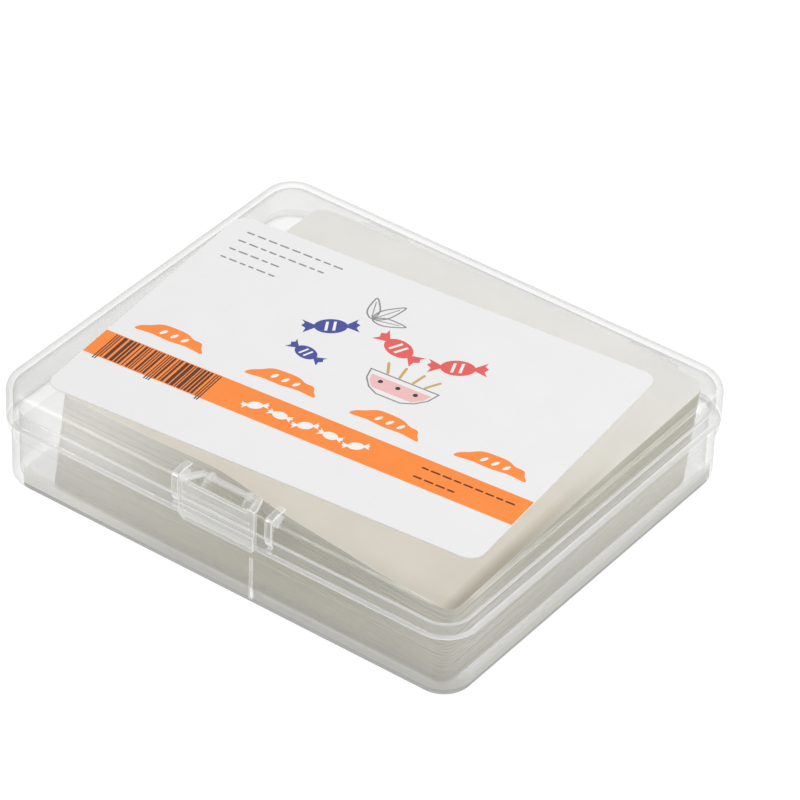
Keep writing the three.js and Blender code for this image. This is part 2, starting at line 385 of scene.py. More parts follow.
def wear(tree, scuff_scale, wave_scale):
    """Places the wear group and returns the object coordinates and its two masks."""
    place = tree.nodes.new("ShaderNodeTexCoord").outputs["Object"]
    node = tree.nodes.new("ShaderNodeGroup")
    node.node_tree = FINE_WEAR
    node.inputs["Scuff Scale"].default_value = scuff_scale
    node.inputs["Wave Scale"].default_value = wave_scale
    tree.links.new(place, node.inputs["Vector"])
    return place, node.outputs["Scuffs"], node.outputs["Waves"]


# ---- materials -----------------------------------------------------------------------------

PLASTIC_CLEAR = (0.560, 0.560, 0.545)
PLASTIC_CLOUD = (0.500, 0.500, 0.482)
MILK_CLEAR = (0.930, 0.930, 0.920)
MILK_CLOUD = (0.880, 0.880, 0.870)
SHEET_PALE = (0.930, 0.852, 0.702)
SHEET_DEEP = (0.875, 0.797, 0.638)
# the sheets' side faces, darker than their tops: painted shade
EDGE_PAINTED_SHADE_PALE = (0.515, 0.492, 0.372)
EDGE_PAINTED_SHADE_DEEP = (0.440, 0.422, 0.308)
LABEL_WHITE = (0.835, 0.832, 0.838)
# how fast the plastic whitens as its wall turns edge on, and where painted shade veils its foot
EDGE_POWER = 3.5
FOOT_SHADE_VEIL_Z = (5.8, 3.0)
PLASTIC_IOR = 1.5
PLASTIC_ROUGH = (0.15, 0.19)
SCUFF_ROUGH = 0.10
CLOUD_VEIL = 0.03
SHEET_ROUGH = (0.5, 0.7)


def clear_plastic(name, clear=PLASTIC_CLEAR, cloudy=PLASTIC_CLOUD, thin=0.10, thick=0.62,
                  shine=0.6, foot=0.0, painted_fades=()):
    """Milky moulded plastic: see-through face on, whiter where the wall is seen on edge.
    With `foot` its outer face veils over towards the box's rounded foot: painted shade."""
    made, tree, shader = material(name)
    place, scuffs, waves = wear(tree, 700.0, 45.0)
    cloud = spread(tree, noise(tree, place, 35.0, 4.0, 0.6), 0.35, 0.75)
    colour = blend_colours(tree, cloud, clear, cloudy)
    tree.links.new(fade_colours(tree, place, colour, painted_fades), shader.inputs["Base Color"])
    uneven = spread(tree, waves, 0.3, 0.7, *PLASTIC_ROUGH)
    scuffed = calc(tree, "MULTIPLY", scuffs, SCUFF_ROUGH)
    tree.links.new(calc(tree, "ADD", uneven, scuffed), shader.inputs["Roughness"])
    facing = tree.nodes.new("ShaderNodeLayerWeight")
    facing.inputs["Blend"].default_value = 0.5
    edge = calc(tree, "POWER", facing.outputs["Facing"], EDGE_POWER)
    milk = spread(tree, edge, 0.0, 1.0, thin, thick)
    # painted shade: the outer face veils over towards the foot
    if foot:
        axes = tree.nodes.new("ShaderNodeSeparateXYZ")
        tree.links.new(place, axes.inputs["Vector"])
        high_z, low_z = FOOT_SHADE_VEIL_Z
        shade_veil = spread(tree, axes.outputs["Z"], high_z * MM, low_z * MM, 0.0, foot)
        inner = tree.nodes.new("ShaderNodeNewGeometry").outputs["Backfacing"]
        shade_veil = calc(tree, "MULTIPLY", shade_veil, calc(tree, "SUBTRACT", 1.0, inner))
        milk = calc(tree, "ADD", milk, shade_veil)
    cloud_veil = calc(tree, "MULTIPLY", cloud, CLOUD_VEIL)
    tree.links.new(calc(tree, "ADD", milk, cloud_veil), shader.inputs["Alpha"])
    shader.inputs["IOR"].default_value = PLASTIC_IOR
    shader.inputs["Specular IOR Level"].default_value = shine
    use_bump(tree, shader, waves, 0.004, 0.0006)
    return made


def wafer_sheet(name, pale, deep, painted_fades):
    """Matt starch paper: soft cloudy tone, a fine fibre and faint cockling."""
    made, tree, shader = material(name)
    place = tree.nodes.new("ShaderNodeTexCoord").outputs["Object"]
    cloud = noise(tree, place, 55.0, 5.0, 0.55)
    flow = noise(tree, place, 140.0, 3.0, 0.5, (1.0, 0.35, 1.0))
    tone = calc(tree, "MULTIPLY", calc(tree, "ADD", cloud, flow), 0.5)
    colour = blend_colours(tree, spread(tree, tone, 0.38, 0.62), deep, pale)
    tree.links.new(fade_colours(tree, place, colour, painted_fades), shader.inputs["Base Color"])
    fibre = noise(tree, place, 2600.0, 3.0, 0.6)
    tree.links.new(spread(tree, fibre, 0.2, 0.8, *SHEET_ROUGH), shader.inputs["Roughness"])
    shader.inputs["Subsurface Weight"].default_value = 0.35
    shader.inputs["Subsurface Radius"].default_value = (1.0, 0.95, 0.8)
    shader.inputs["Subsurface Scale"].default_value = 0.0012
    shader.inputs["Specular IOR Level"].default_value = 0.35
    height = calc(tree, "ADD", calc(tree, "MULTIPLY", fibre, 0.15), cloud)
    use_bump(tree, shader, height, 0.25, 0.0008)
    return made


def printed(name, colour, mottle=0.06, gloss=0.45):
    """Ink or bare paper of the label: even colour with paper tooth and faint mottling."""
    made, tree, shader = material(name)
    place, scuffs, waves = wear(tree, 1100.0, 160.0)
    tooth = noise(tree, place, 3200.0, 2.0, 0.6)
    darker = tuple(channel * (1 - mottle) for channel in colour)
    mix = calc(tree, "MULTIPLY", calc(tree, "ADD", tooth, waves), 0.5)
    tree.links.new(
        blend_colours(tree, spread(tree, mix, 0.35, 0.65), darker, colour),
        shader.inputs["Base Color"])
    tree.links.new(
        calc(tree, "ADD", spread(tree, waves, 0.3, 0.7, gloss - 0.05, gloss + 0.05),
             calc(tree, "MULTIPLY", scuffs, 0.08)),
        shader.inputs["Roughness"])
    shader.inputs["Specular IOR Level"].default_value = 0.3
    use_bump(tree, shader, tooth, 0.08, 0.0002)
    return made


# each fade paints light or shade: its runs along an axis in millimetres, the colour it goes to,
# and its share
# painted light: the plastic paler over its back left
PAINTED_LIGHT_BACK = ([("Y", 0.0, 34.0), ("X", 42.0, 25.0)], (0.71, 0.71, 0.70), 1.0)
# painted reflection: a broad pale highlight on the front walls at the left end
PAINTED_LIGHT_FRONT_LEFT = (
    [("X", -8.0, -28.0), ("X", -44.0, -38.0), ("Y", -28.0, -36.0)], (0.92, 0.92, 0.90), 1.0)
# painted shade: the lid's front left corner greyed to dim the glint there
PAINTED_SHADE_LID_CORNER = ([("X", -34.0, -39.0), ("Y", -20.0, -33.0)], (0.40, 0.40, 0.39), 1.0)
# painted shade: the base greyer towards its left end
PAINTED_SHADE_BASE_END = ([("X", -33.0, -41.0)], (0.42, 0.42, 0.41), 1.0)
# painted shade: the low wall greyer towards the foot
PAINTED_SHADE_FOOT = ([("Z", 5.8, 4.0)], (0.43, 0.425, 0.390), 1.0)
# painted light: the low wall paler towards the left
PAINTED_LIGHT_FOOT_LEFT = ([("X", -8.0, -28.0)], (0.64, 0.63, 0.58), 1.0)

LID_PLASTIC = clear_plastic(
    "lid_clear_plastic", painted_fades=[PAINTED_LIGHT_BACK, PAINTED_LIGHT_FRONT_LEFT, PAINTED_SHADE_LID_CORNER])
BASE_PLASTIC = clear_plastic("base_clear_plastic", painted_fades=[PAINTED_LIGHT_BACK, PAINTED_SHADE_BASE_END])
MILKY_PLASTIC = clear_plastic("milky_thick_plastic", MILK_CLEAR, MILK_CLOUD, 0.20, 0.85)
# painted highlight: near-white, nearly opaque plastic for the bright lines on lips and bevels
LIP_PAINTED_HIGHLIGHT = clear_plastic("lip_painted_highlight_plastic", MILK_CLEAR, MILK_CLOUD, 0.75, 0.95)
# painted shade: dark grey plastic along the foot's edge by the floor
FOOT_PAINTED_SHADE = clear_plastic(
    "foot_edge_painted_shade_plastic", (0.31, 0.31, 0.305), (0.28, 0.28, 0.275), 0.80, 1.0, 0.2)
# painted shade towards the foot, with painted light at the left
LOW_WALL_PAINTED_SHADE_AND_LIGHT = clear_plastic(
    "low_wall_painted_shade_and_light_plastic", shine=0.4, foot=0.75, painted_fades=[PAINTED_SHADE_FOOT, PAINTED_LIGHT_FOOT_LEFT])
# painted light: a milky white band on the rim between lid and base
RIM_PAINTED_LIGHT = clear_plastic("rim_band_painted_light_plastic", MILK_CLEAR, MILK_CLOUD)
SLAB_PLASTIC = clear_plastic("floor_slab_plastic", thin=0.15, thick=0.60)
# painted shade: greyer plastic on the back and left shoulders
SHOULDER_PAINTED_SHADE = clear_plastic(
    "shoulder_painted_shade_plastic", (0.47, 0.47, 0.46), (0.43, 0.43, 0.42), 0.14, 0.78, 0.2)
FAINT_PLASTIC = clear_plastic("faint_plastic", PLASTIC_CLEAR, PLASTIC_CLOUD, 0.04, 0.40)
# the tops: their own tone, painted light towards the back, painted shade at the right and front
# edges
SHEET_TOPS_AND_PAINTED_LIGHT = wafer_sheet("wafer_sheets", SHEET_PALE, SHEET_DEEP, [
    ([("Y", -6.0, 34.0)], (0.98, 0.955, 0.89), 1.0),
    ([("X", 37.9, 39.8), ("Y", 12.0, -16.0)], (0.34, 0.30, 0.21), 0.92),
    ([("Y", -28.0, -30.6), ("X", 18.0, 34.0)], (0.52, 0.49, 0.38), 0.20),
])
# the side faces carry painted shade, and each fade here paints light on them
SHEET_EDGES_PAINTED_SHADE_AND_LIGHT = wafer_sheet("wafer_sheet_edges_painted_shade_and_light", EDGE_PAINTED_SHADE_PALE, EDGE_PAINTED_SHADE_DEEP, [
    ([("Z", 12.5, 15.2), ("Y", 0.0, -28.0)], (0.74, 0.71, 0.60), 0.90),
    ([("Z", 9.0, 4.0)], (0.79, 0.765, 0.615), 0.75),
    ([("Z", 7.6, 9.0), ("Y", 0.0, -28.0)], (0.56, 0.55, 0.46), 0.45),
    ([("X", 4.0, -37.0)], (0.84, 0.81, 0.68), 0.65),
    ([("X", -10.0, -37.0), ("Z", 9.5, 7.5)], (0.95, 0.92, 0.82), 0.70),
    ([("Z", 7.6, 9.0), ("X", -6.0, -30.0)], (0.97, 0.945, 0.85), 0.85),
    ([("X", 20.0, 38.0), ("Y", -12.0, -30.0)], (0.74, 0.71, 0.60), 0.90),
    ([("X", 39.8, 40.6), ("Z", 9.5, 7.0)], (0.74, 0.71, 0.60), 0.80),
])
PAPER = printed("label_white_paper", LABEL_WHITE, 0.015, 0.5)
INKS = {
    "orange": printed("ink_orange", (0.985, 0.270, 0.046)),
    "brown": printed("ink_dark_brown", (0.105, 0.032, 0.018)),
    "blue": printed("ink_blue", (0.060, 0.080, 0.330)),
    "red": printed("ink_red", (0.800, 0.120, 0.110)),
    "grey": printed("ink_grey", (0.270, 0.270, 0.275)),
    "white": printed("ink_white", (0.900, 0.890, 0.880), 0.02),
    "pink": printed("ink_pink", (0.870, 0.520, 0.520)),
    "ochre": printed("ink_ochre", (0.640, 0.400, 0.120)),
    "black": printed("ink_black", (0.045, 0.040, 0.040)),
}


# ---- hinges at the back --------------------------------------------------------------------

def hinge_bracket(centre):
    """Two base arms with a pin between them."""
    y, z = HINGE
    root = BOX_HALF_Y - WALL / 2
    outline = [(root, 9.8), *arc(HINGE, ARM_ROUND, -90, 167, 14), (root, 11.6)]
    first = centre - KNUCKLE_HALF - ARM_GAP - ARM_WIDE
    second = centre + KNUCKLE_HALF + ARM_GAP
    parts = [prism("arm", outline, "x", low, low + ARM_WIDE, 0.2) for low in (first, second)]
    reach = KNUCKLE_HALF + ARM_GAP + ARM_WIDE / 2
    parts.append(bar("pin", PIN_RADIUS, centre - reach, centre + reach, y, z))
    return parts


def lid_knuckle(centre):
    """A ring that clips over the pin, with its web to the lid's wall."""
    y, z = HINGE
    low = centre - KNUCKLE_HALF
    high = centre + KNUCKLE_HALF
    wall = BOX_HALF_Y - WALL / 2
    knuckle = bar("knuckle", KNUCKLE_RADIUS, low, high, y, z, 0.15, 40)
    web = prism(
        "web", [(wall, z + 0.5), (y - 1.8, z + 0.5), (y, z + KNUCKLE_RADIUS), (wall, z + 3.8)],
        "x", low + 0.02, high - 0.02, 0.12)
    mouth = prism(
        "mouth", [(y, z - 1.15), (y + 3, z - 1.15), (y + 3, z + 0.35), (y, z + 0.35)],
        "x", low - 1, high + 1)
    merge(knuckle, [web])
    bore = bar("bore", PIN_BORE, low - 1, high + 1, y, z)
    return merge(knuckle, [mouth, bore], "DIFFERENCE")


# ---- base ----------------------------------------------------------------------------------

def wall_path(*parts):
    """One list of (inset, height) pairs from single pairs and arcs."""
    path = []
    for part in parts:
        path += part if isinstance(part, list) else [part]
    return path


def front_or_right(middle):
    """The part of the box whose lips and rim band get painted light: all but its back left
    quarter.
    """
    return middle.y < 25 or middle.x > 25


def mark_base(body):
    """Puts the tray's plastics: milky on its rib, faint inside and at the back, denser on its
    floor;
    painted light on its lips and rim band, painted shade on its foot, low walls and back.
    """
    front = -BOX_HALF_Y + BASE_INSET
    inside_x = BOX_HALF_X - CAVITY_INSET + 0.06
    inside_y = BOX_HALF_Y - CAVITY_INSET + 0.06
    rim_edge = RIM_TOP - 0.17
    foot_top = 1.95
    low_wall_top = 7

    def on_rib(middle):
        """Whether a place is on the upright rib of the front wall."""
        return (RIB_X[0] - 0.1 < middle.x < RIB_X[1] + 0.1 and middle.y < front - 0.02
                and RIB_Z[0] - 0.1 < middle.z < RIB_Z[1] + 0.1)

    # painted highlight along the rim's top lip
    mark_faces(body, LIP_PAINTED_HIGHLIGHT, lambda middle, normal: (
        middle.z > rim_edge and front_or_right(middle)))
    # painted shade along the foot's edge
    mark_faces(body, FOOT_PAINTED_SHADE, lambda middle, normal: (
        middle.z < foot_top and -0.95 < normal.z < 0.1
        and (middle.y < -31 or middle.x > 38 and middle.y < 30) and middle.x > -36))
    # painted shade towards the foot, with painted light at the left, on the low front and right
    # walls
    mark_faces(body, LOW_WALL_PAINTED_SHADE_AND_LIGHT, lambda middle, normal: (
        foot_top < middle.z < low_wall_top and middle.x > -36
        and (middle.y < -34 or middle.x > 41.5 and middle.y < 32)))
    mark_faces(body, FAINT_PLASTIC, lambda middle, normal: (
        FLOOR_TOP + 0.01 < middle.z < FLOOR_TOP + CAVITY_ROUND and normal.z > 0.1
        and abs(middle.x) < inside_x and abs(middle.y) < inside_y))
    # painted light on the rim band under the lid's lip
    mark_faces(body, RIM_PAINTED_LIGHT, lambda middle, normal: (
        PART_LINE < middle.z < rim_edge and front_or_right(middle)))
    mark_faces(body, MILKY_PLASTIC, lambda middle, normal: on_rib(middle))
    # painted highlight on the rib's bevels
    mark_faces(body, LIP_PAINTED_HIGHLIGHT, lambda middle, normal: on_rib(middle) and eased(normal))
    mark_faces(body, SLAB_PLASTIC, lambda middle, normal: (
        middle.z < 1.6 and abs(normal.z) > 0.99))
    # painted shade on the back wall and the left end
    mark_faces(body, SHOULDER_PAINTED_SHADE, lambda middle, normal: (
        middle.y > 34.5 and middle.x > -38 or middle.x < -43 and 0.5 < middle.z < 10))
    mark_faces(body, FAINT_PLASTIC, lambda middle, normal: (
        middle.y > BOX_HALF_Y + 0.05
        or middle.z > 9 and (middle.x < -40 or middle.x < 20 and middle.y > 34)))


def base_box():
    """The tray: floor, walls, flange and rim in one loft, with its rib and hinge arms."""
    path = wall_path(
        arc((CAVITY_INSET + CAVITY_ROUND, FLOOR_TOP + CAVITY_ROUND), CAVITY_ROUND, 270, 180, 5),
        arc((CAVITY_INSET - RIM_ROUND, RIM_TOP - RIM_ROUND), RIM_ROUND, 0, 90, 3),
        arc((RIM_INSET + RIM_ROUND, RIM_TOP - RIM_ROUND), RIM_ROUND, 90, 180, 3),
        (RIM_INSET, PART_LINE + 0.02),
        arc((FLANGE_INSET + FLANGE_ROUND, PART_LINE - FLANGE_ROUND), FLANGE_ROUND, 90, 180, 4),
        (FLANGE_INSET, 11.0),
        (0.22, 10.6), (0.40, 10.15), (0.62, 9.8), (0.74, 9.5), (BASE_INSET, 9.0),
        (BASE_INSET, 6.0),
        arc((BASE_INSET + FOOT_ROUND, FOOT_ROUND), FOOT_ROUND, 180, 270, 8),
    )
    body = loft("base_body", [ring(inset, z) for inset, z in path])
    front = -BOX_HALF_Y + BASE_INSET
    rib = prism(
        "rib", [(RIB_X[0], front + 0.5), (RIB_X[0], front - RIB_PROUD),
                (RIB_X[1], front - RIB_PROUD), (RIB_X[1], front + 0.5)],
        "z", *RIB_Z, 0.12)
    merge(body, [rib, *hinge_bracket(HINGE_X[0]), *hinge_bracket(HINGE_X[1])])
    shade(body)
    body.data.materials.append(BASE_PLASTIC)
    mark_base(body)
    return body


# ---- lid -----------------------------------------------------------------------------------

def lid_ear(low):
    """A guard rib that squares off the lid's round front edge beside the latch."""
    outline = [
        (-34.1, 19.4), (-34.3, 20.1), (-35.6, 20.15),
        *arc((EAR_FRONT + 0.7, 19.25), 0.7, 90, 180, 4),
        (EAR_FRONT, 15.8), (-37.75, 14.75), (-37.3, 14.5), (-36.9, 14.6), (-36.9, 17.0),
    ]
    return prism("ear", outline, "x", low, low + EAR_WIDE, 0.18)


def ear_foot(centre):
    """The small round nub under a guard rib."""
    outline = arc((centre, 13.9), 0.75, 0, 345, 23)
    return prism("foot", outline, "y", -37.95, -37.2, 0.2)


def pivot_lug(low):
    """A bearing for the flap's rod, on the lid's front edge."""
    y, z = PIVOT
    outline = [
        (y + 0.9, 18.95), *arc(PIVOT, 0.9, 0, 90, 5),
        (y - 1.3, z + 0.5), (y - 2.15, z - 0.3), (y - 2.05, z - 1.4), (y - 1.0, z - 1.2),
    ]
    lug = prism("lug", outline, "x", low, low + LUG_WIDE, 0.1)
    return merge(lug, [bar("bore", 0.6, low - 1, low + 2, y, z, 0, 24)], "DIFFERENCE")


def over_any(x, lows, wide):
    """Whether a place is within one of the ribs that start at `lows`."""
    return any(low - 0.01 <= x <= low + wide + 0.01 for low in lows)


def mark_lid(body):
    """Puts the lid's plastics: milky on its guard ribs and bearings, faint at the back, painted
    highlight on its low lip and the ribs' bevels, painted shade on its back and left shoulders.
    """
    mark_faces(body, MILKY_PLASTIC, lambda middle, normal: (
        middle.y < -33.9 and middle.z > 13.0
        and (over_any(middle.x, EAR_X, EAR_WIDE)
             or middle.z > 18.9 and over_any(middle.x, LUG_X, LUG_WIDE))))
    # painted highlight on the lid's low lip and on the guard ribs' bevels
    mark_faces(body, LIP_PAINTED_HIGHLIGHT, lambda middle, normal: (
        middle.z < LID_LOW + 0.3 and front_or_right(middle)
        or eased(normal) and middle.y < -34.2 and middle.z > 14.4
        and over_any(middle.x, EAR_X, EAR_WIDE)))
    # painted shade on the back and left shoulders
    mark_faces(body, SHOULDER_PAINTED_SHADE, lambda middle, normal: (
        (middle.y > 34 or middle.x < -41.5) and normal.z < 0.99))
    mark_faces(body, FAINT_PLASTIC, lambda middle, normal: middle.y > BOX_HALF_Y + 0.05)


def box_lid():
    """The lid: a shell with rounded shoulders, its latch bearings and hinge knuckles."""
    inner = LID_FILLET - WALL
    ceiling = BOX_HIGH - WALL
    path = wall_path(
        arc((LID_FILLET, ceiling - inner), inner, 90, 180, 8),
        (WALL, 14.5),
        arc((WALL - 0.2, LID_LOW + 0.2), 0.2, 0, -90, 3),
        arc((0.32, LID_LOW + 0.32), 0.32, 270, 180, 4),
        (0.0, 14.5),
        arc((LID_FILLET, BOX_HIGH - LID_FILLET), LID_FILLET, 180, 90, 12),
    )
    body = loft("lid_body", [ring(inset, z) for inset, z in path])
    groove = prism("groove", slab(GROOVE_X[0], GROOVE_Y[0], GROOVE_X[1], GROOVE_Y[1]),
                   "z", *GROOVE_Z)
    merge(body, [groove], "DIFFERENCE")
    extras = [lid_ear(EAR_X[0]), lid_ear(EAR_X[1]), pivot_lug(LUG_X[0]), pivot_lug(LUG_X[1])]
    extras += [ear_foot(EAR_X[0] + 0.7), ear_foot(EAR_X[1] + 0.9)]
    extras += [lid_knuckle(centre) for centre in HINGE_X]
    merge(body, extras)
    shade(body)
    body.data.materials.append(LID_PLASTIC)
    mark_lid(body)
    return body


# ---- latch flap ----------------------------------------------------------------------------

def flap_outline(top):
    """The flap seen from the front: a wide plate with two round lower corners."""
    left, right = FLAP_X
    return [
        (left, top), *arc((left + 1.4, FLAP_LOW + 1.4), 1.4, 180, 270, 6),
        *arc((right - 0.7, FLAP_LOW + 0.7), 0.7, 270, 360, 4), (right, top),
    ]


def flap_arm(plate_x, rod_x, side):
    """A flat arm from the rod, seen from above, out to one end of the plate."""
    rod_front = PIVOT[0] + 0.45
    outer = plate_x - side * 1.5
    outline = [
        (rod_x, rod_front), (rod_x + side * 1.0, rod_front), (plate_x, FLAP_BACK - 0.1),
        (plate_x, FLAP_FRONT + 0.2), (plate_x - side * 0.2, FLAP_FRONT), (outer, FLAP_FRONT),
        (outer, FLAP_BACK),
    ]
    return prism("flap_arm", outline, "z", 19.75, 20.45, 0.12)


def latch_flap():
    """The flap: a plate with a lip and two ridges, its corners, arms and rod."""
    left, right = FLAP_X
    plate = prism("latch_plate", flap_outline(19.6), "y", FLAP_FRONT, FLAP_BACK, 0.12)
    parts = [prism("lip", flap_outline(15.6), "y", FLAP_FRONT - 0.25, FLAP_BACK - 0.25, 0.18)]
    for low in (left, right - 1.5):
        corner = slab(low, 18.6, low + 1.5, 20.35)
        parts.append(prism("corner", corner, "y", FLAP_FRONT, FLAP_BACK, 0.1))
    for z in (16.8, 18.0):
        ridge = slab(left + 0.8, z - 0.2, right - 0.8, z + 0.2)
        parts.append(prism("ridge", ridge, "y", FLAP_FRONT - 0.15, FLAP_FRONT + 0.2, 0.08))
    rod_left = LUG_X[0] - 0.4
    rod_right = LUG_X[1] + 1.2
    parts.append(bar("rod", ROD_RADIUS, rod_left - 0.9, rod_right + 0.9, *PIVOT, 0.08, 24))
    parts += [flap_arm(left, rod_left, -1), flap_arm(right, rod_right, 1)]
    merge(plate, parts)
    shade(plate)
    plate.data.materials.append(MILKY_PLASTIC)
    # painted highlight on the flap's front bevels
    mark_faces(plate, LIP_PAINTED_HIGHLIGHT, lambda middle, normal: (
        eased(normal) and middle.y < PIVOT[0] - 0.6))
    return plate


# ---- wafer paper ---------------------------------------------------------------------------

SHEET_COUNT = 46
STACK_LOW = 1.4
# how far single leaves stray: sideways, turned in degrees, and up and down in ripples
SHEET_SHIFT = 0.05
SHEET_SWING = 0.06
RIPPLE_HIGH = 0.05
# the part of its place in the stack that a leaf fills
SHEET_FILL = 0.98
# how high the top of the stack lies along its front and back: X and Z in millimetres
FRONT_BOW = ((-38.7, 16.7), (-30.0, 16.8), (-20.0, 17.0), (-12.3, 17.3), (-6.5, 17.4),
             (-2.0, 17.0), (4.0, 16.0), (8.0, 15.5), (17.0, 14.9), (25.0, 14.2), (33.0, 13.7),
             (38.7, 13.8))
BACK_BOW = ((-38.7, 16.8), (-28.0, 17.3), (-17.6, 17.8), (-4.0, 18.2), (8.0, 18.35),
            (20.0, 18.3), (31.0, 18.1), (38.7, 17.6))


def along(table, x):
    """Smooth reading between the points of a table."""
    if x <= table[0][0]:
        return table[0][1]
    for (x0, z0), (x1, z1) in zip(table, table[1:]):
        if x <= x1:
            t = (x - x0) / (x1 - x0)
            t = t * t * (3 - 2 * t) * 0.35 + t * 0.65
            return z0 + (z1 - z0) * t
    return table[-1][1]


def stack_top(x, y):
    """Height of the topmost sheet over a place on it: bowed, and rising to the back."""
    back = y / (2 * SHEET_HALF[1]) + 0.5
    near = along(FRONT_BOW, x)
    height = near + (along(BACK_BOW, x) - near) * back
    front_roll = max(0.0, (-29.0 - y) / 3.5)
    right_roll = max(0.0, (x - 35.7) / 3.0)
    return height - 0.45 * front_roll * front_roll - 0.35 * right_roll * right_roll


def sheet_lines(half, count):
    """Grid lines across a sheet, closer together at its rim."""
    rim = [half, half - 0.45, half - 1.0, half - SHEET_CORNER]
    inner = rim[-1]
    between = [inner * (2 * step / count - 1) for step in range(1, count)]
    return [-line for line in rim] + between + rim[::-1]


def round_off(x, y):
    """Draws the four square corners of a sheet in to small arcs."""
    a = (abs(x) - SHEET_HALF[0] + SHEET_CORNER) / SHEET_CORNER
    b = (abs(y) - SHEET_HALF[1] + SHEET_CORNER) / SHEET_CORNER
    if a <= 0 or b <= 0:
        return x, y
    moved_x = SHEET_HALF[0] - SHEET_CORNER * (1 - a * math.sqrt(1 - b * b / 2))
    moved_y = SHEET_HALF[1] - SHEET_CORNER * (1 - b * math.sqrt(1 - a * a / 2))
    return math.copysign(moved_x, x), math.copysign(moved_y, y)


def sheet_faces(start, rows, columns):
    """Both sides and the four edges of a leaf whose points begin at `start`."""
    per_side = (rows + 1) * (columns + 1)

    def at(side, row, column):
        """The number of a point: lower or upper side, row and column."""
        return start + side * per_side + row * (columns + 1) + column

    faces = []
    for row in range(rows):
        for column in range(columns):
            for side in (0, 1):
                quad = (at(side, row, column), at(side, row, column + 1),
                        at(side, row + 1, column + 1), at(side, row + 1, column))
                faces.append(quad if side else quad[::-1])
    edge = [(0, c) for c in range(columns)] + [(r, columns) for r in range(rows)]
    edge += [(rows, c) for c in range(columns, 0, -1)]
    edge += [(r, 0) for r in range(rows, 0, -1)]
    for (r0, c0), (r1, c1) in zip(edge, edge[1:] + edge[:1]):
        faces.append((at(0, r0, c0), at(0, r1, c1), at(1, r1, c1), at(1, r0, c0)))
    return faces


def wafer_stack():
    """Thin cockled leaves, each a little out of line, in a stack that leans to the front."""
    rng = random.Random(8)
    across = sheet_lines(SHEET_HALF[0], 24)
    deep = sheet_lines(SHEET_HALF[1], 16)
    points = []
    faces = []
    for sheet in range(SHEET_COUNT):
        share = sheet / SHEET_COUNT
        shift_x = rng.uniform(-SHEET_SHIFT, SHEET_SHIFT)
        shift_y = rng.uniform(-SHEET_SHIFT, SHEET_SHIFT)
        turn = math.radians(rng.uniform(-SHEET_SWING, SHEET_SWING))
        phase = rng.uniform(0, 6.28)
        faces += sheet_faces(len(points), len(deep) - 1, len(across) - 1)
        for side in (0, 1):
            for row in deep:
                for column in across:
                    x, y = round_off(column, row)
                    full = stack_top(x, y) - STACK_LOW
                    pitch = full / SHEET_COUNT
                    wave = math.sin(x * 0.31 + phase) * math.sin(y * 0.23 + phase * 2)
                    ripple = RIPPLE_HIGH * wave
                    z = STACK_LOW + full * share + pitch * SHEET_FILL * side + ripple * share
                    low = (LEAN_BELOW - z) / (LEAN_BELOW - STACK_LOW)
                    angle = turn + STACK_TURN * (1 - low)
                    points.append((
                        x * math.cos(angle) - y * math.sin(angle) + shift_x
                        + STACK_MIDDLE[0] + STACK_LEAN[0] * low,
                        x * math.sin(angle) + y * math.cos(angle) + shift_y
                        + STACK_MIDDLE[1] + STACK_LEAN[1] * low,
                        z,
                    ))
    piece = new_piece("wafer_sheets", points, faces)
    shade(piece, 40)
    piece.data.materials.append(SHEET_TOPS_AND_PAINTED_LIGHT)
    piece.data.materials.append(SHEET_EDGES_PAINTED_SHADE_AND_LIGHT)
    # side faces take the darker edge material: painted shade
    for face in piece.data.polygons:
        face.material_index = int(abs(face.normal.z) < 0.5)
    return piece


# ---- label ---------------------------------------------------------------------------------

def on_label(u, v):
    """A place on the label, in its own two directions, as X and Y on the lid."""
    x = LABEL_CENTRE[0] + u * math.cos(LABEL_TURN) - v * math.sin(LABEL_TURN)
    y = LABEL_CENTRE[1] + u * math.sin(LABEL_TURN) + v * math.cos(LABEL_TURN)
    return x, y


def label_sheet():
    """The paper label: a thin sheet with round corners and a soft top edge."""
    half_u = LABEL_SIZE[0] / 2
    half_v = LABEL_SIZE[1] / 2
    levels = [(0.0, BOX_HIGH + 0.01), (0.0, LABEL_TOP - 0.05), (0.02, LABEL_TOP - 0.015),
              (0.06, LABEL_TOP)]
    rings = []
    for inset, z in levels:
        flat = ring(inset, z, half_u, half_v, LABEL_CORNER, 10)
        rings.append([(*on_label(u, v), z) for u, v, _ in flat])
    piece = loft("label_sheet", rings)
    shade(piece)
    piece.data.materials.append(PAPER)
    return piece


# the print rises in small steps, so that fields never lie in one plane
INK_STEP = 0.012
INK_ORDER_STEP = 0.00002
INK_ROOT = 0.05
prints = {}


def ink(colour, outline, layer=1):
    """Adds a field of one colour to the label's print."""
    prints.setdefault(colour, []).append((outline, layer))


def turned(outline, u, v, size=1.0, angle=0.0):
    """An outline scaled, turned by an angle in degrees and moved to a place."""
    spin = math.radians(angle)
    return [
        (u + size * (a * math.cos(spin) - b * math.sin(spin)),
         v + size * (a * math.sin(spin) + b * math.cos(spin)))
        for a, b in outline
    ]


def oval(half_a, half_b, steps=32):
    """An ellipse round the origin."""
    angles = [2 * math.pi * i / steps for i in range(steps)]
    return [(half_a * math.cos(angle), half_b * math.sin(angle)) for angle in angles]


def stroke(u0, v0, u1, v1, wide):
    """A line with round ends."""
    angle = math.atan2(v1 - v0, u1 - u0)
    points = []
    for (u, v), start in (((u1, v1), -QUARTER), ((u0, v0), QUARTER)):
        for step in range(7):
            a = angle + start + step / 6 * HALF_TURN
            points.append((u + wide / 2 * math.cos(a), v + wide / 2 * math.sin(a)))
    return points


def ink_loop(colour, outline, wide, layer=1):
    """A closed line: one thin slab per side of the outline."""
    for first, second in zip(outline, outline[1:] + outline[:1]):
        ink(colour, stroke(*first, *second, wide), layer)


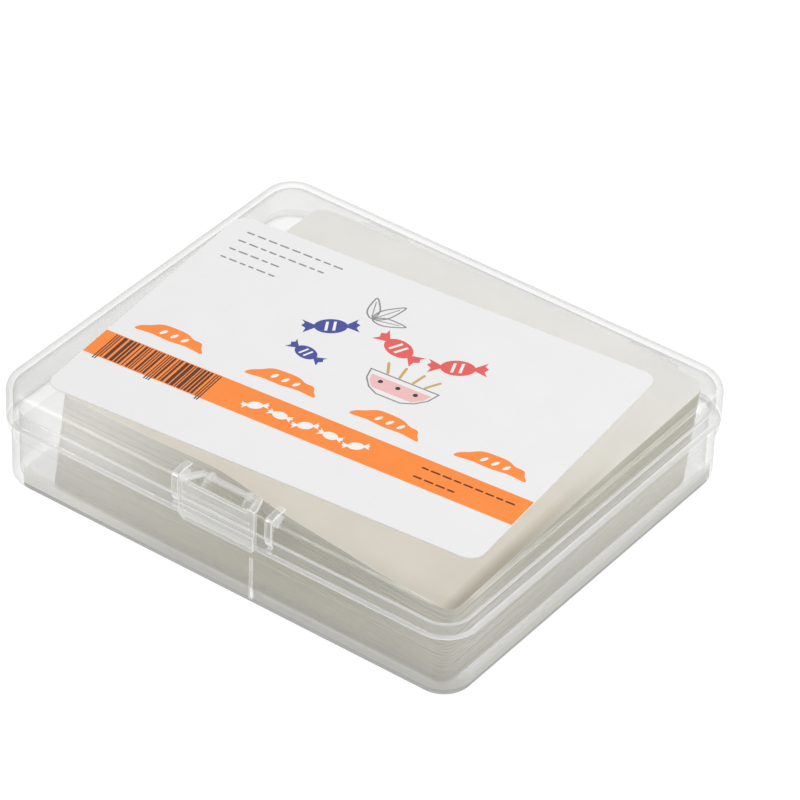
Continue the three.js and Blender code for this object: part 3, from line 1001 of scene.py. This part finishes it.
def build_prints():
    """One piece for each colour, made of all the fields that were set down in it."""
    pieces = []
    for colour, fields in prints.items():
        points = []
        faces = []
        for order, (outline, layer) in enumerate(fields):
            count = len(outline)
            start = len(points)
            low = LABEL_TOP - INK_ROOT
            high = LABEL_TOP + INK_STEP * layer + INK_ORDER_STEP * order
            points += [(*on_label(u, v), low) for u, v in outline]
            points += [(*on_label(u, v), high) for u, v in outline]
            faces.append(tuple(range(start, start + count))[::-1])
            faces.append(tuple(range(start + count, start + 2 * count)))
            for i in range(count):
                after = (i + 1) % count
                faces.append((start + i, start + after,
                              start + after + count, start + i + count))
        piece = new_piece(f"print_{colour}", points, faces)
        piece.data.materials.append(INKS[colour])
        pieces.append(piece)
    return pieces


HILL = [(-6.2, -1.7), (-5.9, -0.6), (-4.6, 0.3), (-3.0, 1.5), (-0.8, 1.75), (1.6, 1.6),
        (3.2, 0.9), (4.8, 0.7), (5.5, -0.4), (6.2, -1.6), (3.0, -1.35), (0.0, -1.6),
        (-3.2, -1.45)]


def soft_outline(corners, steps=5):
    """Rounds a closed outline by running a smooth curve through its corners."""
    count = len(corners)
    points = []
    for i in range(count):
        p0, p1, p2, p3 = (corners[(i + k - 1) % count] for k in range(4))
        for step in range(steps):
            t = step / steps
            points.append(tuple(
                0.5 * (2 * p1[k] + (p2[k] - p0[k]) * t
                       + (2 * p0[k] - 5 * p1[k] + 4 * p2[k] - p3[k]) * t * t
                       + (3 * p1[k] - p0[k] - 3 * p2[k] + p3[k]) * t ** 3)
                for k in (0, 1)
            ))
    return points


def sweet(colour, u, v, size, angle, layer=1, stripe=None):
    """A wrapped sweet: an oval body with two fanned paper ends."""
    ink(colour, turned(oval(0.30, 0.21), u, v, size, angle), layer)
    for side in (-1, 1):
        fan = [(side * 0.27, -0.035), (side * 0.27, 0.035), (side * 0.50, 0.20),
               (side * 0.455, 0.10), (side * 0.52, 0.03), (side * 0.45, -0.05),
               (side * 0.50, -0.18)]
        if side < 0:
            fan = fan[::-1]
        ink(colour, turned(fan, u, v, size, angle), layer)
    if stripe:
        for shift in (-0.10, 0.04):
            band = [(shift - 0.02, -0.13), (shift + 0.03, -0.13),
                    (shift + 0.07, 0.13), (shift + 0.02, 0.13)]
            ink(stripe, turned(band, u, v, size, angle), layer + 1)


def leaf(u, v, size, angle):
    """A leaf drawn as a closed line with its middle rib."""
    outline = [(0.0, 0.0), (0.16, 0.13), (0.40, 0.18), (0.70, 0.12), (1.0, 0.0),
               (0.70, -0.12), (0.40, -0.18), (0.16, -0.13)]
    ink_loop("grey", turned(soft_outline(outline, 3), u, v, size, angle), 0.26)
    ink("grey", turned(stroke(0.1, 0.0, 0.8, 0.0, 0.03), u, v, size, angle))


# the band's lower and upper edge on the label
BAND_V = (-17.1, -10.5)


def draw_band():
    """The broad orange band from edge to edge, with four orange hills above it."""
    edge = LABEL_SIZE[0] / 2 - 0.03
    ink("orange", slab(-edge, BAND_V[0], edge, BAND_V[1]))
    for u, v, lean in ((-29.5, -6.0, 0), (-8.8, -5.8, 2), (10.4, -5.9, -2), (29.2, -5.6, 1)):
        ink("orange", turned(soft_outline(HILL), u, v, 1.0, lean))
        for step in (-1, 0, 1):
            ink("white", turned(oval(0.75, 0.34, 16), u + 0.2 + step * 2.0, v - 0.1, 1.0, 62), 2)


def draw_bars():
    """Stock-keeping bars of made-up widths on the left of the band."""
    rng = random.Random(21)
    thin = 0.215
    u = -37.0
    while u < -17.2:
        guard = u < -36.4 or abs(u + 27.0) < 0.6 or u > -18.2
        wide = thin * (1 if guard else rng.choice((1, 1, 1, 2, 2, 3)))
        ink("brown", slab(u, -17.8 if guard else -16.9, u + wide, -10.7), 2)
        u += wide + thin * (1 if guard else rng.choice((1, 1, 1, 2, 2)))


def draw_rules(rng, colour, left, top, pitch, reaches, widths, gap, thick, layer):
    """Rows of short rules of random lengths, each row as long as its reach."""
    for row, reach in enumerate(reaches):
        u = left
        v = top - row * pitch
        while u < left + reach:
            wide = rng.uniform(*widths)
            ink(colour, stroke(u, v, u + wide, v, thick), layer)
            u += wide + gap


def draw_pictures():
    """Wrapped sweets, three leaves and a bowl with dots and short strokes over it."""
    sweet("blue", -10.4, 10.0, 9.0, 34, 1, "white")
    sweet("blue", -9.9, 2.0, 7.0, -14, 1, "white")
    sweet("red", 1.6, 11.0, 9.4, -20, 1, "white")
    sweet("red", 12.0, 11.8, 9.4, 26, 1, "white")
    leaf(-6.2, 15.3, 5.6, 112)
    leaf(-6.0, 15.3, 6.2, 62)
    leaf(-5.9, 15.2, 5.6, 12)
    bowl = [(-6.2, 1.6), (6.2, 1.6), (5.6, -0.7), (4.1, -2.5), (2.2, -3.5), (-2.2, -3.5),
            (-4.1, -2.5), (-5.6, -0.7)]
    filling = [(-5.45, 0.55), (5.45, 0.55), (4.9, -1.0), (3.6, -2.4), (-3.6, -2.4), (-4.9, -1.0)]
    ink_loop("grey", turned(bowl, 7.0, 2.6), 0.26)
    ink("pink", turned(filling, 7.0, 2.6))
    for shift in (-3.2, 0.0, 3.2):
        ink("black", turned(oval(0.42, 0.42, 16), 7.0 + shift, 2.1), 2)
    for shift, lean in ((-3.4, 118), (-1.2, 98), (1.3, 80), (3.5, 60)):
        ink("ochre", turned(stroke(0, 0, 2.6, 0, 0.5), 7.0 + shift, 4.6, 1.0, lean))


def draw_label():
    """The whole made-up design, in the label's own two directions."""
    draw_band()
    draw_bars()
    # small pale sweets along the middle of the band
    for step in range(5):
        sweet("white", -9.0 + step * 4.6, -13.9, 4.3, 0 if step % 2 else 28, 2)
    rng = random.Random(5)
    draw_rules(rng, "grey", -35.3, 24.0, 2.6, (17.5, 15.5, 10.0, 9.5), (0.7, 1.5), 0.85, 0.34, 1)
    draw_rules(rng, "brown", 20.7, -12.7, 2.5, (15.0, 7.4), (0.8, 1.4), 0.7, 0.36, 2)
    draw_pictures()


# ---- putting it together -------------------------------------------------------------------

def dress(piece, body, node):
    """Puts a piece on its body and hides the node that it stands in for."""
    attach(piece, body)
    if node:
        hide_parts(node)


def let_light_by(piece):
    """The clear lid lights the sheets from all round, so the label casts no hard shade."""
    piece.visible_shadow = False
    piece.visible_diffuse = False


dress(base_box(), "base", "base_box")
dress(box_lid(), "lid", "box_lid")
dress(latch_flap(), "latch", "latch_flap")
dress(wafer_stack(), "base", "paper_stack")
label = label_sheet()
let_light_by(label)
dress(label, "lid", "top_label")
draw_label()
for print_piece in build_prints():
    let_light_by(print_piece)
    dress(print_piece, "lid", None)


# ---- floor, light and camera ---------------------------------------------------------------

FLOOR_HALF = 2500.0
FLOOR_DROP = -0.02
FLOOR_GLOW = 0.88
WORLD_STRENGTH = 0.66
# each light: its name, place and aim in metres, its two sides, its power in watts, and
# whether it is seen in reflections only
LIGHTS = [
    ("key_from_right_back", (0.45, 0.35, 0.95), (0, 0, 0), (1.0, 1.0), 6.6, False),
    ("strip_front_left", (-0.45, -1.0, 0.38), (0, 0, 0.02), (1.0, 0.22), 20.0, True),
    ("box_front_left", (-0.80, -0.75, 0.73), (0, 0, 0.015), (0.36, 0.36), 1.8, True),
    ("strip_right_back", (0.95, 0.80, 0.22), (0, 0, 0.02), (0.8, 0.2), 15.0, True),
]


def pale_floor():
    """A wide pale plane that glows enough to look white all round the box."""
    corners = slab(-FLOOR_HALF, -FLOOR_HALF, FLOOR_HALF, FLOOR_HALF)
    floor = new_piece("pale_floor", [(x, y, FLOOR_DROP) for x, y in corners], [(0, 1, 2, 3)])
    made, tree, shader = material("floor_white")
    place = tree.nodes.new("ShaderNodeTexCoord").outputs["Object"]
    tree.links.new(
        blend_colours(tree, noise(tree, place, 3.0), (0.24, 0.24, 0.24), (0.26, 0.26, 0.26)),
        shader.inputs["Base Color"])
    shader.inputs["Roughness"].default_value = 0.9
    shader.inputs["Specular IOR Level"].default_value = 0.1
    shader.inputs["Emission Color"].default_value = (1.0, 1.0, 1.0, 1.0)
    shader.inputs["Emission Strength"].default_value = FLOOR_GLOW
    floor.data.materials.append(made)


def soft_light(name, place, aim, sides, power, gleam_only):
    """A rectangular light turned to its aim."""
    data = bpy.data.lights.new(name, "AREA")
    data.shape = "RECTANGLE"
    data.size, data.size_y = sides
    data.energy = power
    lamp = bpy.data.objects.new(name, data)
    lamp.location = place
    lamp.rotation_euler = (Vector(aim) - Vector(place)).to_track_quat("-Z", "Y").to_euler()
    lamp.visible_diffuse = not gleam_only
    bpy.context.scene.collection.objects.link(lamp)


def studio():
    """White surroundings, the lights, and enough bounces for a box with four walls in line."""
    scene = bpy.context.scene
    scene.view_settings.view_transform = "Standard"
    light_paths = scene.cycles
    light_paths.max_bounces = 28
    light_paths.glossy_bounces = 16
    light_paths.transmission_bounces = 24
    light_paths.transparent_max_bounces = 24
    world = bpy.data.worlds.new("studio_white")
    world.use_nodes = True
    back = world.node_tree.nodes["Background"]
    back.inputs["Color"].default_value = (1.0, 1.0, 1.0, 1.0)
    back.inputs["Strength"].default_value = WORLD_STRENGTH
    scene.world = world
    for light in LIGHTS:
        soft_light(*light)


# camera fitted to the photograph's outline of the box, for an 800-pixel square frame
FRAME_SIDE = 800.0
CAMERA_AZIMUTH = math.radians(35.68)
CAMERA_HEIGHT = math.radians(37.22)
CAMERA_ROLL = math.radians(1.99)
CAMERA_FOCAL = 4910.86
CAMERA_FAR = 771.36
AIM_POINT = Vector((0, 0, 10.0))
AIM_ACROSS = 364.71
AIM_DOWN = 425.86
SENSOR = 36.0


def photo_camera():
    """The camera that sees the box as the photograph does."""
    level = math.cos(CAMERA_HEIGHT)
    forward = Vector((-math.sin(CAMERA_AZIMUTH) * level, math.cos(CAMERA_AZIMUTH) * level,
                      -math.sin(CAMERA_HEIGHT)))
    right = forward.cross(Vector((0, 0, 1))).normalized()
    up = right.cross(forward)
    turned_right = right * math.cos(CAMERA_ROLL) + up * math.sin(CAMERA_ROLL)
    turned_up = up * math.cos(CAMERA_ROLL) - right * math.sin(CAMERA_ROLL)
    across = (AIM_ACROSS - FRAME_SIDE / 2) / CAMERA_FOCAL
    down = (AIM_DOWN - FRAME_SIDE / 2) / CAMERA_FOCAL
    place = AIM_POINT - CAMERA_FAR * (forward + across * turned_right - down * turned_up)
    data = bpy.data.cameras.new("photo_camera")
    data.sensor_width = SENSOR
    data.lens = CAMERA_FOCAL / FRAME_SIDE * SENSOR
    data.clip_start = 0.01
    camera = bpy.data.objects.new("photo_camera", data)
    turn = Matrix((turned_right, turned_up, -forward)).transposed()
    camera.matrix_world = Matrix.Translation(place * MM) @ turn.to_4x4()
    bpy.context.scene.collection.objects.link(camera)
    bpy.context.scene.camera = camera


pale_floor()
studio()
photo_camera()
